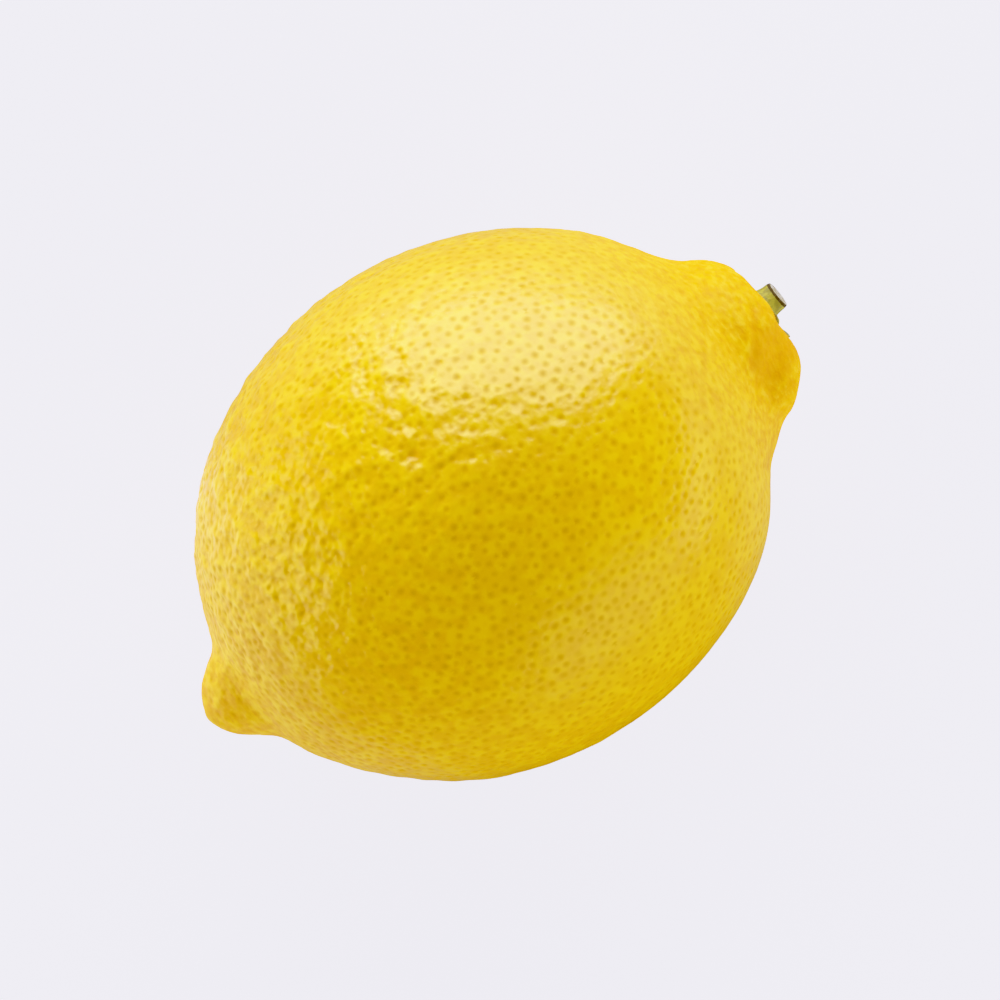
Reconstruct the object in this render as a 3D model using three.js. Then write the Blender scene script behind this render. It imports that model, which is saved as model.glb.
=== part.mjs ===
// A whole lemon with its calyx and the cut end of its stalk, lying on its side.
// Millimetres. +X runs along the fruit from the nipple to the stalk and +Z is up.
// The origin is in the middle of the footprint, on the surface that the fruit lies on.

import * as THREE from "three";
import { mergeVertices } from "three/addons/utils/BufferGeometryUtils.js";

const { degToRad, radToDeg, smoothstep } = THREE.MathUtils;

// The belly is an ellipse turned about the long axis, with its own reach towards each end.
const BELLY_RADIUS = 30.1;
const BELLY_X = -0.75;
const REACH_TO_NIPPLE = 34.9;
const REACH_TO_STALK = 34.4;

// The nipple and the collar are rounded knobs that melt into the belly.
// side and lift say how far each knob's middle stands off the belly's long axis.
const NIPPLE = { root: -31.5, tip: -41.0, radius: 7.4, roundness: 1.6, side: -0.9, lift: -0.4 };
const COLLAR = { root: 29.9, tip: 39.95, radius: 10.8, roundness: 2, side: -1.2, lift: 0.3 };
const BLEND = 5.3;

// A knob's middle leaves the belly's axis between these distances past its root.
const SHIFT_START = 0.5;
const SHIFT_END = 4.5;

// The stalk stands in a shallow hollow in the collar's end, a little off the collar's middle.
const HOLLOW = { radius: 6, depth: 3, side: -0.45, lift: 0.2 };

// Ribs run over the collar from the hollow to the neck. turn is the angle about +X, from +Z
// towards +Y, in degrees. swell is a share of the collar's radius, and spread is in degrees.
const COLLAR_RIBS = [
  { turn: 98, swell: 0.06, spread: 20 },
  { turn: 48, swell: 0.04, spread: 17 },
  { turn: 6, swell: 0.05, spread: 15 },
  { turn: -27, swell: -0.07, spread: 13 },
  { turn: -72, swell: 0.08, spread: 21 },
  { turn: -112, swell: 0.11, spread: 15 },
  { turn: -158, swell: 0.05, spread: 16 },
  { turn: 146, swell: 0.07, spread: 15 },
];
const RIB_LEAN = 4.5; // degrees for each millimetre away from the rim
const RIM_X = 38;
const RIM_RIPPLE = 4; // how far the rim stands up, in millimetres, for a swell of 1
const RIM_WIDTH = 2.2;

// Soft local swellings and dents in the rind: where they are, how high, and how wide.
const SOFT_FORMS = [
  { x: 27.6, turn: -90, rise: -1.0, length: 2.6, spread: 42 },
  { x: 27.4, turn: 88, rise: 0.15, length: 2.8, spread: 45 },
  { x: 32.4, turn: -112, rise: 0.9, length: 2.4, spread: 17 },
  { x: 31.6, turn: -40, rise: -0.6, length: 2.2, spread: 12 },
  { x: -34.0, turn: -78, rise: 0.45, length: 1.6, spread: 24 },
  { x: -33.0, turn: -20, rise: -0.45, length: 1.5, spread: 34 },
  { x: -28.0, turn: -90, rise: -0.42, length: 5.5, spread: 45 },
  { x: 20.0, turn: -90, rise: 0.25, length: 6.0, spread: 45 },
  { x: 30.4, turn: -88, rise: 0.3, length: 1.1, spread: 22 },
];

// Long slow waves that keep the belly from being a perfect solid of revolution.
const SLOW_WAVES = [
  { along: new THREE.Vector3(2.1, 3.4, 3.2), phase: 3.4, height: 0.09 },
  { along: new THREE.Vector3(-3.3, 1.7, 4.1), phase: 5.2, height: 0.08 },
  { along: new THREE.Vector3(4.6, -3.2, 4.7), phase: 1.7, height: 0.06 },
  { along: new THREE.Vector3(3.4, 4.6, -5.1), phase: 0.3, height: 0.06 },
];

const FACETS_PER_EDGE = 19; // of the icosahedron that the rind is drawn on
const PROFILE_STEPS = 720;
const POLE_FADE = 0.25;
const END_CROWDING = 3; // extra share of facets that the two ends get
const END_LENGTH = 9;

const REST_FLAT_DEPTH = 0.4; // how far the belly is pressed flat where it rests

const CALYX = { sepals: 5, radius: 4.1, lobe: 0.17, thickness: 0.5, edge: 0.35, turn: -96 };
const CALYX_SEGMENTS = 40;
const CALYX_RINGS = 5;

const STALK = { foot: 1.85, cut: 1.68, footX: 38.6, tipX: 40.75 };
const STALK_LEAN_UP = 9; // degrees that the stalk leans towards +Z
const STALK_LEAN_SIDE = 2; // and towards +Y
const STALK_CUT_BEVEL = 0.15;
const STALK_SIDES = 20;
const STALK_OVAL = 0.95;
const STALK_FOOT_CLEARANCE = 0.55; // from the foot's middle to the boss, so its low edge clears it
const PIECE_GAP = 0.25;

// --- the fruit -------------------------------------------------------------------------

function knobRadius(knob, x) {
  const depth = (x - knob.root) / (knob.tip - knob.root);
  if (depth <= 0) return knob.radius;
  return knob.radius * Math.max(1 - depth ** knob.roundness, 0) ** (1 / knob.roundness);
}

function bellyRadius(x) {
  const reach = x < BELLY_X ? REACH_TO_NIPPLE : REACH_TO_STALK;
  return BELLY_RADIUS * Math.sqrt(Math.max(1 - ((x - BELLY_X) / reach) ** 2, 0));
}

function turnedRadius(x, collarSwell = 0) {
  const knob = x < BELLY_X ? knobRadius(NIPPLE, x) : knobRadius(COLLAR, x) * (1 + collarSwell);
  return (bellyRadius(x) ** BLEND + knob ** BLEND) ** (1 / BLEND);
}

// A bell of height 1 over the angle between two turns, both in degrees.
function angularBell(turn, centre, spread) {
  const away = ((turn - centre + 540) % 360) - 180;
  return Math.exp(-((away / spread) ** 2));
}

function collarSwell(x, turn) {
  const leaned = turn + RIB_LEAN * (RIM_X - x);
  return COLLAR_RIBS.reduce((sum, rib) => sum + rib.swell * angularBell(leaned, rib.turn, rib.spread), 0);
}

function softRise(x, turn) {
  return SOFT_FORMS.reduce((sum, form) => {
    const lengthwise = Math.exp(-(((x - form.x) / form.length) ** 2));
    return sum + form.rise * lengthwise * angularBell(turn, form.turn, form.spread);
  }, 0);
}

function slowRise(direction) {
  const rises = SLOW_WAVES.map(({ along, phase, height }) => height * Math.sin(along.dot(direction) + phase));
  return rises.reduce((sum, rise) => sum + rise, 0);
}

// How far the knob at one end has pulled the middle of the section off the long axis, 0 to 1.
function knobPull(knob, x) {
  const outward = Math.sign(knob.tip);
  const past = (x - knob.root) * outward;
  return smoothstep(past, SHIFT_START, SHIFT_END);
}

// How far the hollow in the collar's end sinks the surface, at a distance from its middle.
function hollowDepth(distance) {
  const share = Math.min(distance / HOLLOW.radius, 1);
  return HOLLOW.depth * (1 - share ** 2) ** 2;
}

// How far a rib lifts the rim of the hollow, at a distance from its middle.
function rimStand(swell, distance) {
  return RIM_RIPPLE * swell * Math.exp(-(((distance - HOLLOW.radius) / RIM_WIDTH) ** 2));
}

// How far the hollow and its rim move the collar's end surface along +X.
function endRelief(y, z, swell) {
  const distance = Math.hypot(y - HOLLOW.side, z - HOLLOW.lift);
  return rimStand(swell, distance) - hollowDepth(distance);
}

// The stations along the fruit, each with the share of the rind that lies on its stalk side.
function rindStations() {
  const middle = (NIPPLE.tip + COLLAR.tip) / 2;
  const half = (COLLAR.tip - NIPPLE.tip) / 2;
  const stations = [{ x: COLLAR.tip, radius: 0, share: 0 }];
  for (let i = 1; i <= PROFILE_STEPS; i++) {
    const x = middle + half * Math.cos((Math.PI * i) / PROFILE_STEPS);
    const last = stations[i - 1];
    const radius = i === PROFILE_STEPS ? 0 : turnedRadius(x);
    const endwise = Math.max(smoothstep(x, COLLAR.root - END_LENGTH, COLLAR.root),
      1 - smoothstep(x, NIPPLE.root, NIPPLE.root + END_LENGTH));
    const band = (radius + last.radius) * Math.hypot(x - last.x, radius - last.radius);
    stations.push({ x, radius, share: last.share + band * (1 + END_CROWDING * endwise) });
  }
  const whole = stations.at(-1).share;
  return stations.map((station) => ({ ...station, share: station.share / whole }));
}

function stationAt(stations, share) {
  const next = Math.max(stations.findIndex((station) => station.share >= share), 1);
  const before = stations[next - 1];
  const after = stations[next];
  const part = (share - before.share) / (after.share - before.share);
  return before.x + (after.x - before.x) * part;
}

// The point of the rind that a direction from the middle of the fruit stands for. What depends on
// the turn fades out at the two poles, where every turn meets.
function rindPoint(direction, stations) {
  const x = stationAt(stations, (1 - direction.x) / 2);
  const turn = radToDeg(Math.atan2(direction.y, direction.z));
  const offPole = Math.min(Math.hypot(direction.y, direction.z) / POLE_FADE, 1);
  const swell = collarSwell(x, turn) * offPole;
  const radius = Math.max(turnedRadius(x, swell) + softRise(x, turn) * offPole, 0);
  const pullToNipple = knobPull(NIPPLE, x);
  const pullToCollar = knobPull(COLLAR, x);
  const around = degToRad(turn);
  const y = radius * Math.sin(around) + NIPPLE.side * pullToNipple + COLLAR.side * pullToCollar;
  const z = radius * Math.cos(around) + NIPPLE.lift * pullToNipple + COLLAR.lift * pullToCollar;
  const endwise = direction.x > 0 ? endRelief(y, z, swell) : 0;
  return new THREE.Vector3(x + endwise, y, z).addScaledVector(direction, slowRise(direction));
}

function fruitGeometry() {
  const stations = rindStations();
  const drawn = new THREE.IcosahedronGeometry(1, FACETS_PER_EDGE);
  drawn.deleteAttribute("normal");
  drawn.deleteAttribute("uv");
  const geometry = mergeVertices(drawn);
  const position = geometry.getAttribute("position");
  const point = new THREE.Vector3();
  for (let i = 0; i < position.count; i++) {
    point.fromBufferAttribute(position, i).normalize();
    position.setXYZ(i, ...rindPoint(point, stations));
  }
  return geometry;
}

// Lowers the fruit onto the surface and presses a small flat where it rests.
function restOnSurface(geometry) {
  geometry.computeBoundingBox();
  const drop = -geometry.boundingBox.min.z - REST_FLAT_DEPTH;
  const position = geometry.getAttribute("position");
  for (let i = 0; i < position.count; i++) {
    position.setZ(i, Math.max(position.getZ(i) + drop, 0));
  }
  return drop;
}

// --- the calyx and the stalk ---------------------------------------------------------------

// Where the collar's end surface lies, beside a point off the long axis.
function collarEndX(y, z) {
  const fromMiddle = Math.hypot(y - COLLAR.side, z - COLLAR.lift) / COLLAR.radius;
  const dome = COLLAR.root + (COLLAR.tip - COLLAR.root) * Math.sqrt(1 - fromMiddle ** 2);
  const turn = radToDeg(Math.atan2(y - COLLAR.side, z - COLLAR.lift));
  return dome + endRelief(y, z, collarSwell(RIM_X, turn));
}

// A dished star of sepals that lies in the hollow and laps onto the rim, with a low boss in the
// middle that the stalk stands on.
function calyxGeometry() {
  const outline = [];
  for (let i = 0; i <= CALYX_RINGS; i++) {
    outline.push(new THREE.Vector2((CALYX.radius * i) / CALYX_RINGS, 1));
  }
  for (let i = CALYX_RINGS; i >= 0; i--) {
    outline.push(new THREE.Vector2((CALYX.radius * i) / CALYX_RINGS, 0));
  }
  const drawn = new THREE.LatheGeometry(outline, CALYX_SEGMENTS);
  drawn.deleteAttribute("normal");
  drawn.deleteAttribute("uv");
  const geometry = mergeVertices(drawn);
  const position = geometry.getAttribute("position");
  for (let i = 0; i < position.count; i++) {
    const drawnRadius = Math.hypot(position.getX(i), position.getZ(i));
    const around = Math.atan2(position.getX(i), position.getZ(i));
    const lobes = Math.cos(CALYX.sepals * (around - degToRad(CALYX.turn)));
    const outwards = drawnRadius / CALYX.radius;
    const radius = drawnRadius * (1 + CALYX.lobe * lobes * outwards);
    const y = HOLLOW.side + radius * Math.sin(around);
    const z = HOLLOW.lift + radius * Math.cos(around);
    const underside = collarEndX(y, z) + PIECE_GAP;
    const isTop = position.getY(i) > 0;
    const top = underside + CALYX.thickness + (CALYX.edge - CALYX.thickness) * outwards;
    const boss = radius < STALK.foot ? STALK.footX - STALK_FOOT_CLEARANCE : top;
    position.setXYZ(i, isTop ? Math.max(top, boss) : underside, y, z);
  }
  return geometry;
}

function stalkGeometry(length) {
  const outline = [
    new THREE.Vector2(0, 0),
    new THREE.Vector2(STALK.foot, 0),
    new THREE.Vector2(STALK.cut, length - STALK_CUT_BEVEL),
    new THREE.Vector2(STALK.cut - STALK_CUT_BEVEL, length),
    new THREE.Vector2(0, length),
  ];
  return new THREE.LatheGeometry(outline, STALK_SIDES).scale(1, 1, STALK_OVAL);
}

// --- assembly --------------------------------------------------------------------------------

function finish(color, roughness) {
  return new THREE.MeshStandardMaterial({ color, roughness, metalness: 0 });
}

function namedMesh(name, geometry, material) {
  const mesh = new THREE.Mesh(geometry, material);
  mesh.name = name;
  return mesh;
}

function buildLemon() {
  const lemon = new THREE.Group();

  const rind = fruitGeometry();
  const drop = restOnSurface(rind);
  lemon.add(namedMesh("fruit", rind, finish(0xe8bd16, 0.42)));

  const button = new THREE.Group();
  button.position.z = drop;
  lemon.add(button);
  button.add(namedMesh("calyx", calyxGeometry(), finish(0x8d8b3a, 0.7)));

  const stalk = namedMesh("stalk", stalkGeometry(STALK.tipX - STALK.footX), finish(0x9a9a3c, 0.65));
  stalk.position.set(STALK.footX, HOLLOW.side, HOLLOW.lift);
  const heading = new THREE.Vector3(
    1,
    Math.tan(degToRad(STALK_LEAN_SIDE)),
    Math.tan(degToRad(STALK_LEAN_UP)),
  ).normalize();
  stalk.quaternion.setFromUnitVectors(new THREE.Vector3(0, 1, 0), heading);
  button.add(stalk);

  return lemon;
}

export default buildLemon();
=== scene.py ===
import math

import bpy
import numpy as np
from bpy.props import FloatProperty, FloatVectorProperty, IntProperty, PointerProperty
from bpy.types import Operator, Panel, PropertyGroup
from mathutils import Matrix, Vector, kdtree, noise


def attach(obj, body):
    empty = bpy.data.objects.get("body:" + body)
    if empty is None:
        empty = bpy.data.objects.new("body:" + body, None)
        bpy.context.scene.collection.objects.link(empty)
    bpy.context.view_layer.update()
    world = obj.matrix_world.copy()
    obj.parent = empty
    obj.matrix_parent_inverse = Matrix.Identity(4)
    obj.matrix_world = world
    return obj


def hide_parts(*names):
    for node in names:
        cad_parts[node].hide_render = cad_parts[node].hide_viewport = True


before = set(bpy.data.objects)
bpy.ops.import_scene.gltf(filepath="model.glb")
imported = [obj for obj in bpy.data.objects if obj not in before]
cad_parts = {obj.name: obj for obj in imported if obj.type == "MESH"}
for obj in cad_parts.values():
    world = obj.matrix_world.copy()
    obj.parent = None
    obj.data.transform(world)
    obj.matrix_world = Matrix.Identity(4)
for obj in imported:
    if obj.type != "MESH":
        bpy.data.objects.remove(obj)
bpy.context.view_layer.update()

bl_info = {
    "name": "Lemon",
    "version": (1, 0, 0),
    "blender": (4, 5, 0),
    "location": "View3D > Sidebar > Lemon",
    "description": "Dresses a plain lemon solid with a pitted rind, a dry calyx and a cut stalk",
    "category": "Object",
}

MM = 0.001
WELD_DISTANCE = 0.001 * MM

# Where the fruit's parts lie along its long axis, X, and how high that axis is, in millimetres.
NIPPLE_TIP_X = -41.0
NIPPLE_NECK_X = -33.5
COLLAR_NECK_X = 31.5
COLLAR_RIM_X = 38.2
AXIS_HEIGHT = 30.0

# --- sizes and colours -------------------------------------------------------------------------


class RindSettings(PropertyGroup):
    """The rind's relief and colours."""

    pore_gap: FloatProperty(
        name="Pore gap", description="Least distance between two oil pores",
        default=1.04 * MM, min=0.8 * MM, max=4 * MM, unit="LENGTH", precision=5)
    pore_radius: FloatProperty(
        name="Pore radius", description="Radius of the dip over an oil pore",
        default=0.42 * MM, min=0.1 * MM, max=1 * MM, unit="LENGTH", precision=5)
    pore_depth: FloatProperty(
        name="Pore depth", description="How deep a pore sinks into the rind",
        default=0.085 * MM, min=0, max=0.4 * MM, unit="LENGTH", precision=5)
    lump_height: FloatProperty(
        name="Lump height", description="Height of the uneven lumps between the pores",
        default=0.20 * MM, min=0, max=0.6 * MM, unit="LENGTH", precision=5)
    lump_length: FloatProperty(
        name="Lump length", description="Distance from one lump to the next",
        default=2.3 * MM, min=0.5 * MM, max=10 * MM, unit="LENGTH", precision=5)
    ring_height: FloatProperty(
        name="Ring height", description="Height of the wrinkles that ring the two ends",
        default=0.09 * MM, min=0, max=0.4 * MM, unit="LENGTH", precision=5)
    fold_height: FloatProperty(
        name="Fold height", description="Height of the fine folds near the nipple",
        default=0.09 * MM, min=0, max=0.4 * MM, unit="LENGTH", precision=5)
    seed: IntProperty(name="Seed", description="Seed of the random pores", default=7, min=0)
    skin: FloatVectorProperty(
        name="Skin", description="Main yellow of the rind", subtype="COLOR",
        default=(0.85, 0.517, 0.001), min=0, max=1)
    # Warm skin is deeper yellow in random patches, towards the nipple and on the far side's shoulder. At the
    # collar and the nipple it is partly painted shade in the recessed ends.
    warm_skin_and_end_shade: FloatVectorProperty(
        name="Warm skin", description="Deeper yellow in patches and at the two ends", subtype="COLOR",
        default=(0.80, 0.430, 0.001), min=0, max=1)
    # Pale skin is paler yellow in random patches, and a painted sheen on the raised skin between the pores.
    pale_skin_and_sheen: FloatVectorProperty(
        name="Pale skin", description="Paler yellow on the raised skin between pores", subtype="COLOR",
        default=(0.93, 0.617, 0.003), min=0, max=1)
    streak: FloatVectorProperty(
        name="Streak", description="Pale cream of the fine rings at the two ends", subtype="COLOR",
        default=(0.93, 0.63, 0.045), min=0, max=1)
    # This amber is painted shade where the rind's relief sinks, as in the collar's grooves and dips, and the
    # colour of the dark flecks at the two ends.
    hollow_shade: FloatVectorProperty(
        name="Hollow", description="Amber of the collar's hollows and of dark flecks", subtype="COLOR",
        default=(0.74, 0.365, 0.001), min=0, max=1)
    pore: FloatVectorProperty(
        name="Pore", description="Amber of the oil pores", subtype="COLOR",
        default=(0.67, 0.385, 0.001), min=0, max=1)


class ButtonSettings(PropertyGroup):
    """The colours of the calyx and the stalk."""

    calyx: FloatVectorProperty(
        name="Calyx", description="Olive green of the sepals", subtype="COLOR",
        default=(0.40, 0.40, 0.08), min=0, max=1)
    calyx_dry: FloatVectorProperty(
        name="Dry calyx", description="Brown of the sepals' dry patches", subtype="COLOR",
        default=(0.30, 0.24, 0.08), min=0, max=1)
    bark: FloatVectorProperty(
        name="Stalk", description="Olive green of the stalk's side", subtype="COLOR",
        default=(0.35, 0.31, 0.045), min=0, max=1)
    bark_light: FloatVectorProperty(
        name="Light stalk", description="Yellow green in patches of the stalk's side", subtype="COLOR",
        default=(0.48, 0.44, 0.06), min=0, max=1)
    bark_grey: FloatVectorProperty(
        name="Grey stalk", description="Grey green of the stalk's dry specks", subtype="COLOR",
        default=(0.29, 0.29, 0.13), min=0, max=1)
    cut_edge: FloatVectorProperty(
        name="Cut edge", description="Dark brown of the cut's edge", subtype="COLOR",
        default=(0.09, 0.045, 0.006), min=0, max=1)
    cut_tan: FloatVectorProperty(
        name="Cut tan", description="Tan of the dry fibres in the cut", subtype="COLOR",
        default=(0.34, 0.27, 0.14), min=0, max=1)
    cut_wood: FloatVectorProperty(
        name="Cut wood", description="Pale dry wood of the cut face", subtype="COLOR",
        default=(0.50, 0.47, 0.36), min=0, max=1)


class StageSettings(PropertyGroup):
    """The floor, the lights and the camera."""

    floor: FloatVectorProperty(
        name="Floor", description="Colour of the pale floor", subtype="COLOR",
        default=(0.938, 0.924, 1.0), min=0, max=1)
    floor_shade: FloatProperty(
        name="Floor shade", description="Share of the lights that the floor throws back",
        default=0.10, min=0, max=1, subtype="FACTOR")
    floor_glow: FloatProperty(
        name="Floor glow", description="Brightness that the floor gives off itself",
        default=0.96, min=0)
    floor_shine: FloatProperty(
        name="Floor shine", description="Brightness of the pale floor as the rind's gloss mirrors it",
        default=0.42, min=0)
    # The key light's foot and the side light's foot are painted pools of light on the floor that the gloss
    # mirrors, before each of these lights.
    key_light_pool: FloatProperty(
        name="Key light's foot", description="What the gloss mirrors more of the floor before the key light",
        default=0.9, min=0)
    side_light_pool: FloatProperty(
        name="Side light's foot", description="The same for the floor between the fruit and the side light",
        default=0.8, min=0)
    light_colour: FloatVectorProperty(
        name="Light colour", description="Colour of the soft lights", subtype="COLOR",
        default=(1.0, 0.99, 0.97), min=0, max=1)
    key: FloatProperty(
        name="Key light", description="Brightness of the large soft light at the top of the view",
        default=3.3, min=0)
    fill: FloatProperty(
        name="Fill light", description="Brightness of the light at the lower right of the view",
        default=3.85, min=0)
    side: FloatProperty(
        name="Side light", description="Brightness of the low light at the left of the view",
        default=1.8, min=0)
    side_fill: FloatProperty(
        name="Side fill", description="Brightness of the light that adds to the side light, with no gloss",
        default=3.5, min=0)
    right: FloatProperty(
        name="Right light", description="Brightness of the low light at the right of the view",
        default=1.4, min=0)
    room: FloatProperty(
        name="Room light", description="Brightness of the pale room, which lights the fruit from all round",
        default=0.26, min=0)
    lens: FloatProperty(
        name="Lens", description="Focal length of the camera, in millimetres",
        default=150, min=20, max=400)
    frame_width: FloatProperty(
        name="Frame width", description="Width of what the camera sees at the height of the fruit's axis",
        default=114.6 * MM, min=10 * MM, unit="LENGTH", precision=5)
    axis_turn: FloatProperty(
        name="Axis turn", description="How far the fruit's axis rises from left to right in the view",
        default=math.radians(36.3), subtype="ANGLE")


# --- working with pieces -----------------------------------------------------------------------

# How far one seed reads the noise from the next.
SEED_STEP = np.array((17.13, 9.37, 5.71))


def select_only(piece):
    bpy.ops.object.select_all(action="DESELECT")
    piece.select_set(True)
    bpy.context.view_layer.objects.active = piece


def merged_copy(node, name):
    """A copy of a plain solid as a new piece, with its loose triangles joined."""
    piece = bpy.data.objects.new(name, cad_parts[node].data.copy())
    piece.data.name = name
    piece.data.materials.clear()
    bpy.context.collection.objects.link(piece)
    select_only(piece)
    bpy.ops.object.mode_set(mode="EDIT")
    bpy.ops.mesh.select_all(action="SELECT")
    bpy.ops.mesh.remove_doubles(threshold=WELD_DISTANCE)
    bpy.ops.object.mode_set(mode="OBJECT")
    return piece


def apply_modifier(piece, kind, **settings):
    select_only(piece)
    modifier = piece.modifiers.new(kind.title(), kind)
    for key, value in settings.items():
        setattr(modifier, key, value)
    bpy.ops.object.modifier_apply(modifier=modifier.name)


def subdivide(piece, levels):
    apply_modifier(piece, "SUBSURF", levels=levels, render_levels=levels)


def points_of(mesh):
    """The mesh's vertices, in millimetres."""
    flat = np.empty(len(mesh.vertices) * 3)
    mesh.vertices.foreach_get("co", flat)
    return flat.reshape(-1, 3) / MM


def normals_of(mesh):
    flat = np.empty(len(mesh.vertices) * 3)
    mesh.vertex_normals.foreach_get("vector", flat)
    return flat.reshape(-1, 3)


def move_points(mesh, points):
    """Puts the mesh's vertices at points, in millimetres."""
    mesh.vertices.foreach_set("co", (points * MM).ravel())
    mesh.update()


def add_attribute(mesh, name, kind, domain, values):
    attribute = mesh.attributes.new(name, kind, domain)
    key = "vector" if kind == "FLOAT_VECTOR" else "value"
    attribute.data.foreach_set(key, np.asarray(values, dtype=np.float32).ravel())


def smooth_step(value, start, end):
    """0 where value is at start, 1 where it is at end, and smooth between. start may be the higher."""
    share = np.clip((value - start) / (end - start), 0, 1)
    return share * share * (3 - 2 * share)


def bell(distance):
    """1 where distance is 0, and just over a third where it is 1."""
    return np.exp(-(distance**2))


def noise_at(points, length, seed):
    """Soft noise from -1 to 1. length, one number or three, is the distance between its lumps."""
    spots = points / np.broadcast_to(length, 3) + seed * SEED_STEP
    return np.array([noise.noise(Vector(spot)) for spot in spots])


def dress(piece, node):
    """Hangs the piece from the root body and hides the plain solid that it stands in for."""
    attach(piece, "root")
    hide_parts(node)


def shade_smooth(piece, angle=180):
    """Shades the piece smooth across edges that turn by less than angle, in degrees."""
    select_only(piece)
    if angle >= 180:
        bpy.ops.object.shade_smooth()
    else:
        bpy.ops.object.shade_smooth_by_angle(angle=math.radians(angle))


# --- shader maths ------------------------------------------------------------------------------


class Wire:
    """A shader value that adds, subtracts, multiplies and divides as a number does."""

    def __init__(self, paint, socket):
        self.paint = paint
        self.socket = socket

    def maths(self, operation, first, second):
        return self.paint.node("ShaderNodeMath", {"operation": operation}, (first, second))

    def __add__(self, other):
        return self.maths("ADD", self, other)

    def __sub__(self, other):
        return self.maths("SUBTRACT", self, other)

    def __rsub__(self, other):
        return self.maths("SUBTRACT", other, self)

    def __mul__(self, other):
        return self.maths("MULTIPLY", self, other)

    def __truediv__(self, other):
        return self.maths("DIVIDE", self, other)

    __radd__ = __add__
    __rmul__ = __mul__


class Paint:
    """A material under way: its node tree, its shader and short ways to add nodes."""

    def __init__(self, name, **constants):
        self.material = bpy.data.materials.new(name)
        self.material.use_nodes = True
        self.tree = self.material.node_tree
        self.shader = self.tree.nodes["Principled BSDF"]
        for socket, value in constants.items():
            self.shader.inputs[socket.replace("_", " ")].default_value = value

    def node(self, kind, settings=None, inputs=(), output=0):
        """Adds a node. inputs is a tuple of values in the order of the sockets, or a dict by name."""
        node = self.tree.nodes.new(kind)
        for key, value in (settings or {}).items():
            setattr(node, key, value)
        pairs = inputs.items() if isinstance(inputs, dict) else enumerate(inputs)
        for key, value in pairs:
            if isinstance(value, Wire):
                self.tree.links.new(value.socket, node.inputs[key])
            else:
                node.inputs[key].default_value = value
        return Wire(self, node.outputs[output])

    def place(self):
        return self.node("ShaderNodeTexCoord", output="Object")

    def coordinate(self, place, axis):
        """Where a place lies along X, Y or Z, in millimetres."""
        return self.node("ShaderNodeSeparateXYZ", inputs=(place,), output=axis) / MM

    def squeezed(self, place, times):
        """A place whose patterns are squeezed along X, or drawn out where times is under 1."""
        return self.node("ShaderNodeMapping", inputs={"Vector": place, "Scale": (times, 1, 1)})

    def length(self, vector):
        return self.node("ShaderNodeVectorMath", {"operation": "LENGTH"}, (vector,), output="Value")

    def attribute(self, name, output="Fac"):
        return self.node("ShaderNodeAttribute", {"attribute_name": name}, output=output)

    def noise(self, place, length, detail=2.0):
        """Noise from 0 to 1, with one lump to each length in millimetres."""
        return self.node("ShaderNodeTexNoise", inputs={
            "Vector": place, "Scale": 1 / (length * MM), "Detail": detail})

    def between(self, value, start, end):
        """0 where value is at start, 1 where it is at end, and smooth between. start may be the higher."""
        return self.node("ShaderNodeMapRange", {"interpolation_type": "SMOOTHSTEP"},
                         {"Value": value, "From Min": start, "From Max": end})

    def patches(self, place, length, start, end, detail=2.0):
        """Patches of noise that are 1 where the noise is past end and 0 where it is short of start."""
        return self.between(self.noise(place, length, detail), start, end)

    def blend(self, share, first, second):
        """A mix of two colours. share is a wire, 0 for the first colour and 1 for the second."""
        node = self.tree.nodes.new("ShaderNodeMix")
        node.data_type = "RGBA"
        for key, value in (("Factor_Float", share), ("A_Color", first), ("B_Color", second)):
            socket = next(s for s in node.inputs if s.identifier == key)
            if isinstance(value, Wire):
                self.tree.links.new(value.socket, socket)
            else:
                socket.default_value = (*value, 1)
        return Wire(self, next(s for s in node.outputs if s.identifier == "Result_Color"))

    def feed(self, socket, wire):
        self.tree.links.new(wire.socket, self.shader.inputs[socket])

    def bump(self, height, distance):
        """Bumps the surface by height, a wire, times distance, in millimetres."""
        inputs = {"Distance": distance * MM, "Height": height}
        self.feed("Normal", self.node("ShaderNodeBump", inputs=inputs))

    def dull(self, mask):
        """Takes the gloss away where mask is 1, by mixing in a shader that has none."""
        matte = self.tree.nodes.new("ShaderNodeBsdfPrincipled")
        matte.inputs["Specular IOR Level"].default_value = 0
        for socket in ("Base Color", "Normal"):
            source = self.shader.inputs[socket].links[0].from_socket
            self.tree.links.new(source, matte.inputs[socket])
        shaders = (mask, Wire(self, self.shader.outputs[0]), Wire(self, matte.outputs[0]))
        mixed = self.node("ShaderNodeMixShader", inputs=shaders)
        self.tree.links.new(mixed.socket, self.tree.nodes["Material Output"].inputs["Surface"])


# --- the fruit's relief, in millimetres --------------------------------------------------------

# Each pore is pushed this share of the way to the middle of the skin that is nearest to it.
PORE_PUSH = 0.6

# A pore's size, as a share of the pore radius and depth, and its darkness, from 0 to 1. Larger pores are
# darker, and fainter ones are shallower too.
PORE_SIZE_LEAST = 0.80
PORE_SIZE_SPREAD = 0.26
PORE_DARK_MEAN = 0.66
PORE_DARK_BY_SIZE = 0.8
PORE_DARK_SPREAD = 0.16
PORE_DARK_LEAST = 0.15
PORE_DEPTH_BY_DARK = 1.3
PORE_LOSS_AT_COLLAR = 0.75
PORE_LOSS_AT_NIPPLE = 0.5

# The layers of noise that make up the lumps: the length and height of each, as a share of the lump length
# and height, and its seed.
LUMP_LAYERS = ((1.0, 1.0, 1), (0.68, 0.5, 7), (2.0, 0.4, 2), (4.5, 0.2, 3))
LUMPS_AT_COLLAR = 0.32
LUMPS_AT_NIPPLE = 1.20
LUMP_LOSS_NEAR = 0.65

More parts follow.
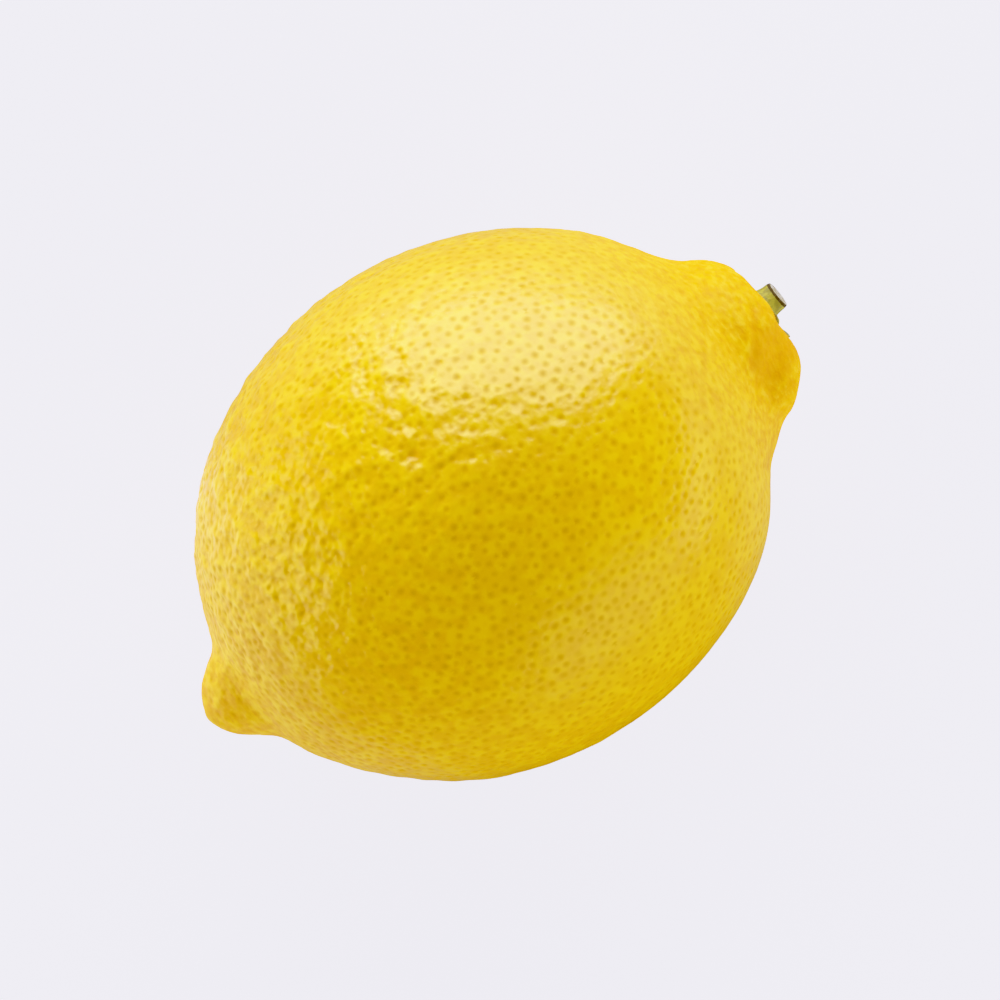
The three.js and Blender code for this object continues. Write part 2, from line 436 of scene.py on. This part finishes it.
# Noise that is longer along Y and Z than along X makes rings and folds that run round the fruit.
RING_LENGTHS = (1.5, 5.5, 5.5)
FOLD_LENGTHS = (1.9, 6, 6)
FOLD_SLANT = 0.35
FOLD_SHARPNESS = 4.0
FOLD_PATCH_LENGTH = 11

# The grooves in the collar's upper side: where each starts and ends in plan, its width and its depth. The
# first is wide, and the rind's material paints amber shade into it, as into every hollow.
COLLAR_GROOVES = (
    ((36.2, -4.6), (34.4, -6.6), 2.4, 0.38),
    ((36.9, 0.1), (32.8, -5.5), 0.55, 0.20),
    ((32.5, -12.3), (28.2, -15.6), 0.8, 0.26),
)

# Where the collar's rim is sunk, round the stalk's foot and at the shoulder beside it: how far from the foot
# along Y and Z, how wide each way, and how deep.
RIM_DIPS = (
    ((0.4, 1.0), (3.4, 3.4), 0.48),
    ((-5.2, 1.5), (2.0, 4.5), 0.60),
)


def tree_of(points):
    tree = kdtree.KDTree(len(points))
    for index, point in enumerate(points):
        tree.insert(point, index)
    tree.balance()
    return tree


def nearest_pores(spots, pores):
    """For each spot, which pore is nearest and how far off it is."""
    tree = tree_of(pores)
    found = [tree.find(spot) for spot in spots]
    return np.array([hit[1] for hit in found]), np.array([hit[2] for hit in found])


def scatter_pores(points, gap, seed):
    """Picks places for the pores: at random, none closer to another than gap, and then each moved
    towards the middle of the skin nearest to it."""
    tree = tree_of(points)
    free = np.ones(len(points), dtype=bool)
    chosen = []
    for index in np.random.default_rng(seed).permutation(len(points)):
        if free[index]:
            chosen.append(index)
            near = tree.find_range(points[index], gap)
            free[[found[1] for found in near]] = False
    pores = points[chosen]
    owner, _ = nearest_pores(points, pores)
    middle = np.zeros_like(pores)
    np.add.at(middle, owner, points)
    middle /= np.bincount(owner, minlength=len(pores))[:, None]
    return pores * (1 - PORE_PUSH) + middle * PORE_PUSH


def end_share(points):
    """0 over the belly, rising to 1 at the two ends."""
    x = points[:, 0]
    towards_nipple = smooth_step(x, -12, NIPPLE_NECK_X)
    towards_collar = smooth_step(x, 20, COLLAR_NECK_X)
    return np.maximum(towards_nipple, towards_collar)


def smooth_body(piece, rounds):
    """Evens out the plain fruit between its two ends."""
    group = piece.vertex_groups.new(name="body")
    for index, share in enumerate(1 - end_share(points_of(piece.data))):
        group.add([index], share, "REPLACE")
    apply_modifier(piece, "SMOOTH", vertex_group=group.name, factor=0.5, iterations=rounds)
    piece.vertex_groups.clear()


def groove(points, start, end, width, depth):
    """A soft groove on the fruit's upper side, between two places given in plan."""
    start, end = np.array(start), np.array(end)
    way = end - start
    share = np.clip((points[:, :2] - start) @ way / (way @ way), 0, 1)
    off = np.linalg.norm(points[:, :2] - start - share[:, None] * way, axis=1)
    upper_side = smooth_step(points[:, 2], AXIS_HEIGHT - 2, AXIS_HEIGHT + 4)
    return -depth * bell(off / width) * upper_side


def rim_dip(points):
    """How far the collar's rim is sunk."""
    foot, _ = stalk_axis(points_of(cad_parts["stalk"].data))
    from_foot = points[:, 1:] - foot[1:]
    dips = sum(depth * bell(np.linalg.norm((from_foot - place) / width, axis=1))
               for place, width, depth in RIM_DIPS)
    at_rim = smooth_step(points[:, 0], 33, 36.5)
    return dips * at_rim


def lumps(points, length, height):
    """Lumps that are strong towards the nipple and faint on the near side, which faces -Y."""
    towards_nipple = smooth_step(points[:, 0], 16, -8)
    near_side = smooth_step(points[:, 1], 6, -10)
    strength = LUMPS_AT_COLLAR + (LUMPS_AT_NIPPLE - LUMPS_AT_COLLAR) * towards_nipple
    layers = sum(noise_at(points, length * longer, seed) * height * higher
                 for longer, higher, seed in LUMP_LAYERS)
    return layers * strength * (1 - LUMP_LOSS_NEAR * near_side)


def folds(points, height):
    """Fine slanted folds, in patches between the belly and the nipple's neck, on the far side."""
    slanted = points + points[:, [1]] * np.array((FOLD_SLANT, 0, 0))
    crests = np.maximum(1 - np.abs(noise_at(slanted, FOLD_LENGTHS, seed=5)) * FOLD_SHARPNESS, 0)
    past_belly = smooth_step(points[:, 0], -12, -20)
    short_of_neck = smooth_step(points[:, 0], -35, -31)
    far_side = smooth_step(points[:, 1], -5, 6)
    in_patches = smooth_step(noise_at(points, FOLD_PATCH_LENGTH, seed=6), -0.25, 0.15)
    return crests * past_belly * short_of_neck * far_side * in_patches * height


def rind_relief(points, settings):
    """How far each point of the rind stands out before the pores are sunk."""
    relief = lumps(points, settings.lump_length / MM, settings.lump_height / MM)
    relief += noise_at(points, RING_LENGTHS, seed=4) * settings.ring_height / MM * end_share(points)
    relief += folds(points, settings.fold_height / MM)
    for shape in COLLAR_GROOVES:
        relief += groove(points, *shape)
    return relief - rim_dip(points)


def draw_pores(points, settings):
    """Where the pores are, how large each is and how dark."""
    rng = np.random.default_rng(settings.seed + 1)
    pores = scatter_pores(points, settings.pore_gap / MM, settings.seed)
    size = PORE_SIZE_LEAST + PORE_SIZE_SPREAD * rng.random(len(pores)) ** 2
    dark = PORE_DARK_MEAN + PORE_DARK_BY_SIZE * (size - PORE_SIZE_LEAST)
    dark = np.clip(dark + rng.normal(0, PORE_DARK_SPREAD, len(pores)), PORE_DARK_LEAST, 1)
    at_collar = smooth_step(pores[:, 0], 21, 31)
    at_nipple = smooth_step(pores[:, 0], -31, -36)
    dark *= 1 - PORE_LOSS_AT_COLLAR * at_collar - PORE_LOSS_AT_NIPPLE * at_nipple
    return pores, size, dark


def store_pores(mesh, points, pores, size, dark):
    """Stores at each face's corners how they lie off the pore that is nearest to the face, as if all
    pores were of size 1, and how dark that pore is."""
    corner_vertex = np.empty(len(mesh.loops), dtype=np.int64)
    mesh.loops.foreach_get("vertex_index", corner_vertex)
    corners_of_face = np.empty(len(mesh.polygons), dtype=np.int64)
    mesh.polygons.foreach_get("loop_total", corners_of_face)
    corner_face = np.repeat(np.arange(len(corners_of_face)), corners_of_face)
    face_middle = np.zeros((len(corners_of_face), 3))
    np.add.at(face_middle, corner_face, points[corner_vertex])
    face_middle /= corners_of_face[:, None]
    face_pore, _ = nearest_pores(face_middle, pores)
    corner_pore = face_pore[corner_face]
    offset = (points[corner_vertex] - pores[corner_pore]) / size[corner_pore][:, None]
    add_attribute(mesh, "pore_offset", "FLOAT_VECTOR", "CORNER", offset * MM)
    add_attribute(mesh, "pore_dark", "FLOAT", "CORNER", dark[corner_pore])


def sculpt_rind(piece, settings):
    """Raises the lumps and sinks the pores, and stores both for the material."""
    mesh = piece.data
    points = points_of(mesh)
    normals = normals_of(mesh)
    pores, size, dark = draw_pores(points, settings)
    nearest, distance = nearest_pores(points, pores)
    radius = settings.pore_radius / MM * size[nearest]
    sunk = bell(distance / radius) * size[nearest] * settings.pore_depth / MM
    sunk *= np.minimum(dark[nearest] * PORE_DEPTH_BY_DARK, 1)
    relief = rind_relief(points, settings) - sunk
    off_the_floor = smooth_step(points[:, 2], 0.05, 0.8)
    moved = points + normals * (relief * off_the_floor)[:, None]
    moved[:, 2] = np.maximum(moved[:, 2], 0)
    move_points(mesh, moved)
    store_pores(mesh, points, pores, size, dark)
    add_attribute(mesh, "relief", "FLOAT", "POINT", relief)


# --- the fruit ---------------------------------------------------------------------------------

# How far the dark spot over a pore reaches, as a share of the pore's radius.
SPOT_REACH = 1.7

# How much the patterns on the rind are squeezed along X at the two ends, where they ring the fruit.
RING_SQUEEZE = 2.2

# The height of a bump in the rind that counts as 1, in millimetres.
RIND_BUMP = 0.09


def rind_material(settings):
    """Each mask is 0 where the first place or value in its line is, and 1 where the second is. Places
    are in millimetres, and a mask's factor says how much it counts."""
    paint = Paint("rind", Specular_IOR_Level=0.95)
    place = paint.place()
    along = paint.coordinate(place, "X")
    across = paint.coordinate(place, "Y")
    nipple = paint.between(along, NIPPLE_NECK_X + 3, NIPPLE_TIP_X + 1)
    nipple_side = paint.between(along, 5, -28)
    collar = paint.between(along, COLLAR_NECK_X - 9, COLLAR_RIM_X - 3)
    ends = paint.between(along, 20, 29) + paint.between(along, -25, -32)
    shoulder = paint.between(across, 8, 22)
    far_side = paint.between(across, -9, 5)

    relief = paint.attribute("relief")
    # Darker amber where the relief sinks is painted shade in the hollows.
    hollow_shade = paint.between(relief, -0.10, -0.32)
    # Paler where the relief stands up is a painted sheen on the raised skin.
    raised = paint.between(relief, -0.10, 0.20)
    from_pore = paint.length(paint.attribute("pore_offset", "Vector"))
    spot = paint.between(from_pore, settings.pore_radius * SPOT_REACH, 0) * paint.attribute("pore_dark")

    clouds = paint.patches(place, length=19, start=0.38, end=0.66, detail=3.0)
    mottle = paint.patches(place, length=1.7, start=0.37, end=0.65)
    flecks = paint.noise(paint.squeezed(place, RING_SQUEEZE), length=1.3, detail=3.0)
    pale_flecks = paint.between(flecks, 0.50, 0.68) * ends
    warm_flecks = paint.between(flecks, 0.48, 0.34) * ends

    # At the collar and the nipple the warmth is partly the rind's deeper yellow and partly painted shade in
    # the recessed ends.
    warmth_and_end_shade = clouds * 0.4 + nipple_side * 0.35 + shoulder * 0.3 + nipple * 0.5 + collar * 0.8
    # The paleness is random mottle and, on the raised skin, a painted sheen.
    paleness_and_sheen = (mottle * 0.65 + raised * 0.25) * (1 - collar * 0.5)
    colour = paint.blend(warmth_and_end_shade, settings.skin, settings.warm_skin_and_end_shade)
    colour = paint.blend(paleness_and_sheen, colour, settings.pale_skin_and_sheen)
    colour = paint.blend(pale_flecks * 0.45, colour, settings.streak)
    # This amber is painted shade in the hollows, and the colour of the dark flecks at the ends.
    colour = paint.blend(warm_flecks * 0.55 + hollow_shade * 0.7, colour, settings.hollow_shade)
    colour = paint.blend(spot, colour, settings.pore)
    paint.feed("Base Color", colour)
    paint.feed("Roughness", 0.28 + ends * 0.2)

    coarse = 0.35 + paint.between(along, 20, -8) * 0.75
    coarse = coarse + paint.between(along, -12, -20) * (1 - nipple) * 0.8
    pebbles = paint.noise(place, length=1.4, detail=1.0) * (0.4 + far_side * 0.6) * coarse
    grain = paint.noise(place, length=0.4)
    height = pebbles * 2.3 + grain * 0.10 + flecks * ends * 1.2 - spot * 0.38
    paint.bump(height, distance=RIND_BUMP)
    paint.dull(spot * 0.65 + collar * 0.7 + nipple * 0.35)
    return paint.material


class LEMON_OT_fruit(Operator):
    """Makes the fruit's pitted rind over the plain fruit"""

    bl_idname = "lemon.fruit"
    bl_label = "Make fruit"

    def execute(self, context):
        settings = context.scene.lemon_rind
        piece = merged_copy("fruit", "rind")
        subdivide(piece, levels=1)
        smooth_body(piece, rounds=5)
        subdivide(piece, levels=1)
        sculpt_rind(piece, settings)
        piece.data.materials.append(rind_material(settings))
        shade_smooth(piece)
        dress(piece, "fruit")
        return {"FINISHED"}


# --- the calyx and the stalk, in millimetres ---------------------------------------------------

# The calyx is sunk with the rim and a little deeper. It leans by this much for each millimetre along Y.
CALYX_SINK = 0.31
CALYX_LEAN = 0.035
CALYX_ROUGHNESS = 0.09
CALYX_ROUGH_LENGTH = 0.9

# How much of each end of the stalk is taken to find its axis. A point nearer to the axis than ON_AXIS has no
# way out that can be told.
STALK_END = 0.6
ON_AXIS = 0.01

# The stalk's foot is flared and sunk, up to these heights over it.
FLARE = 0.55
FLARE_HEIGHT = 1.0
FOOT_SINK = 0.45
FOOT_SINK_HEIGHT = 1.2

# The layers of noise in the stalk's bark: the length, height and seed of each. Its patterns are drawn out
# along X.
BARK_LAYERS = (((2.2, 1.1, 1.1), 0.10, 8), (0.5, 0.04, 9))
BARK_SQUEEZE = 0.45

# How far the cut slopes back for each millimetre up.
CUT_SLOPE = 0.07

# How nearly a face must point along the stalk to be of the cut, or of the bevel round it.
CUT_FACING = 0.95
BEVEL_FACING = 0.4

# The insets that model the cut: how far inwards each goes, and how far out of the stalk.
CUT_INSETS = ((0.10, 0), (0.10, -0.06), (0.20, 0.04), (0.45, -0.05))


def calyx_material(settings):
    paint = Paint("calyx")
    place = paint.place()
    dry = paint.patches(place, length=1.1, start=0.4, end=0.65, detail=3.0)
    paint.feed("Base Color", paint.blend(dry, settings.calyx, settings.calyx_dry))
    paint.feed("Roughness", 0.6 + dry * 0.25)
    paint.bump(paint.noise(place, length=0.35, detail=3.0), distance=0.08)
    return paint.material


class LEMON_OT_calyx(Operator):
    """Makes the star of dry sepals in the hollow of the collar"""

    bl_idname = "lemon.calyx"
    bl_label = "Make calyx"

    def execute(self, context):
        piece = merged_copy("calyx", "calyx_star")
        subdivide(piece, levels=2)
        points = points_of(piece.data)
        lean = CALYX_LEAN * (points[:, 1] - points[:, 1].mean())
        points[:, 0] -= rim_dip(points) + lean + CALYX_SINK
        rough = noise_at(points, CALYX_ROUGH_LENGTH, seed=5) * CALYX_ROUGHNESS
        move_points(piece.data, points + normals_of(piece.data) * rough[:, None])
        piece.data.materials.append(calyx_material(context.scene.lemon_button))
        shade_smooth(piece)
        dress(piece, "calyx")
        return {"FINISHED"}


def stalk_axis(points):
    """Where the stalk's axis starts and which way it points, from the points at its two ends."""
    low = points[points[:, 0] < points[:, 0].min() + STALK_END].mean(axis=0)
    high = points[points[:, 0] > points[:, 0].max() - STALK_END].mean(axis=0)
    return low, (high - low) / np.linalg.norm(high - low)


def bark_material(settings):
    paint = Paint("stalk_bark", Roughness=0.5)
    streaky = paint.squeezed(paint.place(), BARK_SQUEEZE)
    light = paint.patches(streaky, length=0.6, start=0.40, end=0.62, detail=3.0)
    specks = paint.patches(streaky, length=0.5, start=0.52, end=0.68)
    colour = paint.blend(light, settings.bark, settings.bark_light)
    paint.feed("Base Color", paint.blend(specks * 0.6, colour, settings.bark_grey))
    paint.bump(paint.noise(streaky, length=0.3), distance=0.06)
    return paint.material


def edge_material(settings):
    paint = Paint("stalk_cut_edge", Roughness=0.75)
    flecks = paint.patches(paint.place(), length=0.5, start=0.55, end=0.85)
    paint.feed("Base Color", paint.blend(flecks, settings.cut_edge, settings.cut_tan))
    return paint.material


def wood_material(settings):
    paint = Paint("stalk_cut_wood", Roughness=0.85)
    place = paint.place()
    fibres = paint.patches(place, length=0.55, start=0.4, end=0.66, detail=3.0)
    paint.feed("Base Color", paint.blend(fibres, settings.cut_wood, settings.cut_tan))
    paint.bump(paint.noise(place, length=0.35, detail=3.0), distance=0.1)
    return paint.material


def cut_the_end(piece):
    """Models the cut: a dark edge and, inside it, a pale face with a shallow groove round it. The piece's
    materials are the bark, the edge and the wood, in that order."""
    select_only(piece)
    bpy.ops.object.mode_set(mode="EDIT")
    bpy.ops.mesh.select_mode(type="FACE")
    bpy.ops.mesh.select_all(action="DESELECT")
    bpy.ops.object.mode_set(mode="OBJECT")
    axis = Vector(stalk_axis(points_of(piece.data))[1])
    for face in piece.data.polygons:
        along = face.normal @ axis
        face.select = along > CUT_FACING
        if BEVEL_FACING < along < CUT_FACING:
            face.material_index = 1
    bpy.ops.object.mode_set(mode="EDIT")
    bpy.ops.mesh.dissolve_faces()
    piece.active_material_index = 2
    bpy.ops.object.material_slot_assign()
    for inwards, outwards in CUT_INSETS:
        bpy.ops.mesh.inset(thickness=inwards * MM, depth=outwards * MM)
    bpy.ops.mesh.poke()
    bpy.ops.object.mode_set(mode="OBJECT")


def shape_stalk(mesh):
    """Flares and sinks the stalk's foot, roughens its bark and slopes its cut."""
    points = points_of(mesh)
    low, axis = stalk_axis(points)
    height = (points - low) @ axis
    outward = points - low - height[:, None] * axis
    off_axis = np.linalg.norm(outward, axis=1)
    outward /= np.maximum(off_axis, ON_AXIS)[:, None]
    flare = FLARE * (1 - np.clip(height / FLARE_HEIGHT, 0, 1)) ** 2
    bark = sum(noise_at(points, length, seed) * rough for length, rough, seed in BARK_LAYERS)
    points += outward * (flare + bark)[:, None]
    points[:, 0] -= FOOT_SINK * (1 - smooth_step(height, 0, FOOT_SINK_HEIGHT))
    near_cut = smooth_step(height, 0.6, 1.9)
    points[:, 0] -= CUT_SLOPE * near_cut * (points[:, 2] - points[:, 2].min())
    move_points(mesh, points)


class LEMON_OT_stalk(Operator):
    """Makes the cut end of the stalk"""

    bl_idname = "lemon.stalk"
    bl_label = "Make stalk"

    def execute(self, context):
        settings = context.scene.lemon_button
        piece = merged_copy("stalk", "stalk_end")
        for material in (bark_material(settings), edge_material(settings), wood_material(settings)):
            piece.data.materials.append(material)
        cut_the_end(piece)
        subdivide(piece, levels=3)
        shape_stalk(piece.data)
        shade_smooth(piece, angle=50)
        dress(piece, "stalk")
        return {"FINISHED"}


# --- the stage, in metres ----------------------------------------------------------------------

BLACK = (0, 0, 0)

# How far the floor and the backdrop reach.
STAGE_RADIUS = 4

# The mirrored floor lies this far under the floor.
SHINE_DROP = 0.002

# The brightest that the floor is mirrored in the rind's gloss.
SHINE_TOP = 2.0

# The soft lights stand at this distance and face the fruit. A bearing is in degrees, turned from the right
# of the view towards its top. lift is how far a light stands above the floor. The rind's gloss doesn't
# mirror a light whose shine is False. How bright each is stands under its name in the stage's settings.
LIGHT_DISTANCE = 0.5
LIGHTS = {
    "key": {"bearing": 89, "size": (0.78, 0.60), "lift": 0.03, "shine": True},
    "fill": {"bearing": 315, "size": (0.45, 0.35), "lift": 0.01, "shine": False},
    "side": {"bearing": 190, "size": (0.70, 0.085), "lift": 0.01, "shine": True},
    "side_fill": {"bearing": 190, "size": (0.50, 0.28), "lift": 0.05, "shine": False},
    "right": {"bearing": 5, "size": (0.45, 0.09), "lift": 0.01, "shine": True},
}

# Where the camera stands over the fruit.
CAMERA_PLACE = (0.92 * MM, -0.52 * MM)

# How brightly the view shows the light that reaches the camera, from 0 to 1. BRIGHTEST shows as white.
BRIGHTEST = 1.6
TONE_POINTS = (
    (0.2, 0.2), (0.4, 0.4), (0.6, 0.595), (0.7, 0.675), (0.8, 0.745), (0.9, 0.81), (1.0, 0.868),
    (1.1, 0.914), (1.2, 0.948), (1.35, 0.978),
)
# The same for the blue in it, which a deep yellow swallows.
BLUE_POINTS = (
    (0.015, 0.003), (0.03, 0.018), (0.06, 0.045), (0.12, 0.100), (0.2, 0.20), (0.27, 0.31),
    (0.36, 0.40), (0.6, 0.62),
)
# Which of the view's curves these points belong to.
BLUE_CURVE = 2
TONE_CURVE = 3


def heading(bearing):
    """The direction on the floor at a bearing in degrees."""
    angle = math.radians(bearing) - bpy.context.scene.lemon_stage.axis_turn
    return Vector((math.cos(angle), math.sin(angle), 0))


def soft_light(name, settings, bearing, size, lift, shine):
    """A soft light that faces the fruit, as LIGHTS says."""
    outward = heading(bearing)
    width, height = size
    data = bpy.data.lights.new(name, "AREA")
    data.shape = "RECTANGLE"
    data.size, data.size_y = size
    data.energy = getattr(settings, name) * math.pi * width * height
    data.color = settings.light_colour
    light = bpy.data.objects.new(name, data)
    light.location = outward * LIGHT_DISTANCE + Vector((0, 0, height / 2 + lift))
    light.rotation_euler = (-outward).to_track_quat("-Z", "Y").to_euler()
    light.visible_camera = False
    light.visible_glossy = shine
    bpy.context.collection.objects.link(light)


def stage_paint(name, brightness, base, glow=BLACK):
    """A dull material that glows. No light rays are aimed at it, because the rind's gloss would then
    show it even where it is hidden from reflections."""
    paint = Paint(name, Roughness=1.0, Specular_IOR_Level=0.0, Base_Color=(*base, 1),
                  Emission_Color=(*glow, 1), Emission_Strength=brightness)
    paint.material.cycles.emission_sampling = "NONE"
    return paint


def floor_material(settings):
    shaded = tuple(channel * settings.floor_shade for channel in settings.floor)
    return stage_paint("floor", settings.floor_glow, shaded, settings.floor).material


def backdrop_material(settings):
    return stage_paint("backdrop", settings.floor_glow, BLACK, settings.floor).material


def shine_material(settings):
    """The floor as the gloss mirrors it, with light and shade painted into its glow. Near the fruit it is
    pale, but for the lower right of the view, which is dark as the fruit's painted shadow. Further off it is
    pale only towards the key light. It is brightest before the key light and before the side light, as
    painted pools of their light."""
    paint = stage_paint("floor_shine", SHINE_TOP, BLACK)
    place = paint.place()
    distance = paint.length(place)
    way = paint.node("ShaderNodeVectorMath", {"operation": "NORMALIZE"}, (place,))

    def towards(bearing, start, end):
        """0 where the floor's direction is off the bearing, 1 along it. start and end are cosines."""
        facing = paint.node("ShaderNodeVectorMath", {"operation": "DOT_PRODUCT"},
                            (way, tuple(heading(bearing))), output="Value")
        return paint.between(facing, start, end)

    far = paint.between(distance, 0.09, 0.16)
    by_side_light = paint.between(distance, 0.25, 0.12)
    # Near the fruit the floor is left dark towards the lower right as the fruit's painted shadow, and the
    # two feet are painted pools of light.
    pale = (1 - far) * (1 - towards(300, 0.5, 1.0)) + far * towards(95, 0.2, 0.8)
    key_light_pool = far * towards(105, 0.8, 0.97) * settings.key_light_pool
    side_light_pool = by_side_light * towards(195, 0.8, 0.97) * settings.side_light_pool
    share = (pale * settings.floor_shine + key_light_pool + side_light_pool) / SHINE_TOP
    paint.feed("Emission Color", paint.blend(share, BLACK, settings.floor))
    return paint.material


def floor_disc(name, height, material):
    bpy.ops.object.select_all(action="DESELECT")
    bpy.ops.mesh.primitive_circle_add(vertices=96, radius=STAGE_RADIUS, fill_type="NGON",
                                      location=(0, 0, height))
    disc = bpy.context.object
    disc.name = name
    disc.data.materials.append(material)
    return disc


def add_floors(settings):
    """The floor, and the one that only the gloss sees in its place."""
    floor = floor_disc("floor", 0, floor_material(settings))
    floor.visible_glossy = False
    shine = floor_disc("floor_shine", -SHINE_DROP, shine_material(settings))
    shine.visible_camera = False
    shine.visible_diffuse = False
    shine.visible_shadow = False


def add_backdrop(settings):
    """A pale shell round the stage, which the camera sees and the fruit doesn't."""
    bpy.ops.object.select_all(action="DESELECT")
    bpy.ops.mesh.primitive_uv_sphere_add(segments=48, ring_count=24, radius=STAGE_RADIUS)
    shell = bpy.context.object
    shell.name = "backdrop"
    shell.data.materials.append(backdrop_material(settings))
    shell.visible_diffuse = False
    shell.visible_glossy = False
    shell.visible_shadow = False


def room_light(settings):
    """The pale room's light, which the rind's gloss doesn't mirror."""
    world = bpy.data.worlds.new("room")
    world.use_nodes = True
    background = world.node_tree.nodes["Background"]
    background.inputs["Color"].default_value = (*settings.light_colour, 1)
    background.inputs["Strength"].default_value = settings.room
    world.cycles_visibility.glossy = False
    world.cycles.sampling_method = "NONE"
    return world


def add_camera(settings):
    """A camera that looks straight down on the fruit."""
    data = bpy.data.cameras.new("camera")
    data.lens = settings.lens
    distance = settings.frame_width * settings.lens / data.sensor_width
    camera = bpy.data.objects.new("camera", data)
    camera.location = (*CAMERA_PLACE, AXIS_HEIGHT * MM + distance)
    camera.rotation_euler = (0, 0, -settings.axis_turn)
    bpy.context.collection.objects.link(camera)
    return camera


def soften_whites(view):
    """Lets bright tones fade towards white, as a camera does, rather than stop short at it."""
    view.view_transform = "Standard"
    view.use_curve_mapping = True
    mapping = view.curve_mapping
    mapping.white_level = (BRIGHTEST, BRIGHTEST, BRIGHTEST)
    for light, shown in TONE_POINTS:
        mapping.curves[TONE_CURVE].points.new(light / BRIGHTEST, shown)
    for light, shown in BLUE_POINTS:
        mapping.curves[BLUE_CURVE].points.new(light, shown)
    mapping.update()


class LEMON_OT_stage(Operator):
    """Sets up the pale floor, the soft lights and the camera that looks down on the fruit"""

    bl_idname = "lemon.stage"
    bl_label = "Set stage"

    def execute(self, context):
        settings = context.scene.lemon_stage
        add_floors(settings)
        add_backdrop(settings)
        for name, light in LIGHTS.items():
            soft_light(name, settings, **light)
        context.scene.world = room_light(settings)
        context.scene.camera = add_camera(settings)
        soften_whites(context.scene.view_settings)
        return {"FINISHED"}


# --- the panel and the run ---------------------------------------------------------------------


class LEMON_PT_panel(Panel):
    """Lists the settings and the steps that make the lemon"""

    bl_label = "Lemon"
    bl_idname = "LEMON_PT_panel"
    bl_space_type = "VIEW_3D"
    bl_region_type = "UI"
    bl_category = "Lemon"

    def draw(self, context):
        for group in (context.scene.lemon_rind, context.scene.lemon_button, context.scene.lemon_stage):
            box = self.layout.box()
            for name in group.__annotations__:
                box.prop(group, name)
        for operator in (LEMON_OT_fruit, LEMON_OT_calyx, LEMON_OT_stalk, LEMON_OT_stage):
            self.layout.operator(operator.bl_idname)


CLASSES = (
    RindSettings, ButtonSettings, StageSettings,
    LEMON_OT_fruit, LEMON_OT_calyx, LEMON_OT_stalk, LEMON_OT_stage, LEMON_PT_panel,
)


def register():
    for cls in CLASSES:
        bpy.utils.register_class(cls)
    bpy.types.Scene.lemon_rind = PointerProperty(type=RindSettings)
    bpy.types.Scene.lemon_button = PointerProperty(type=ButtonSettings)
    bpy.types.Scene.lemon_stage = PointerProperty(type=StageSettings)


def unregister():
    del bpy.types.Scene.lemon_rind, bpy.types.Scene.lemon_button, bpy.types.Scene.lemon_stage
    for cls in reversed(CLASSES):
        bpy.utils.unregister_class(cls)


def main():
    register()
    bpy.ops.lemon.stage()
    bpy.ops.lemon.fruit()
    bpy.ops.lemon.calyx()
    bpy.ops.lemon.stalk()


if __name__ == "__main__":
    main()
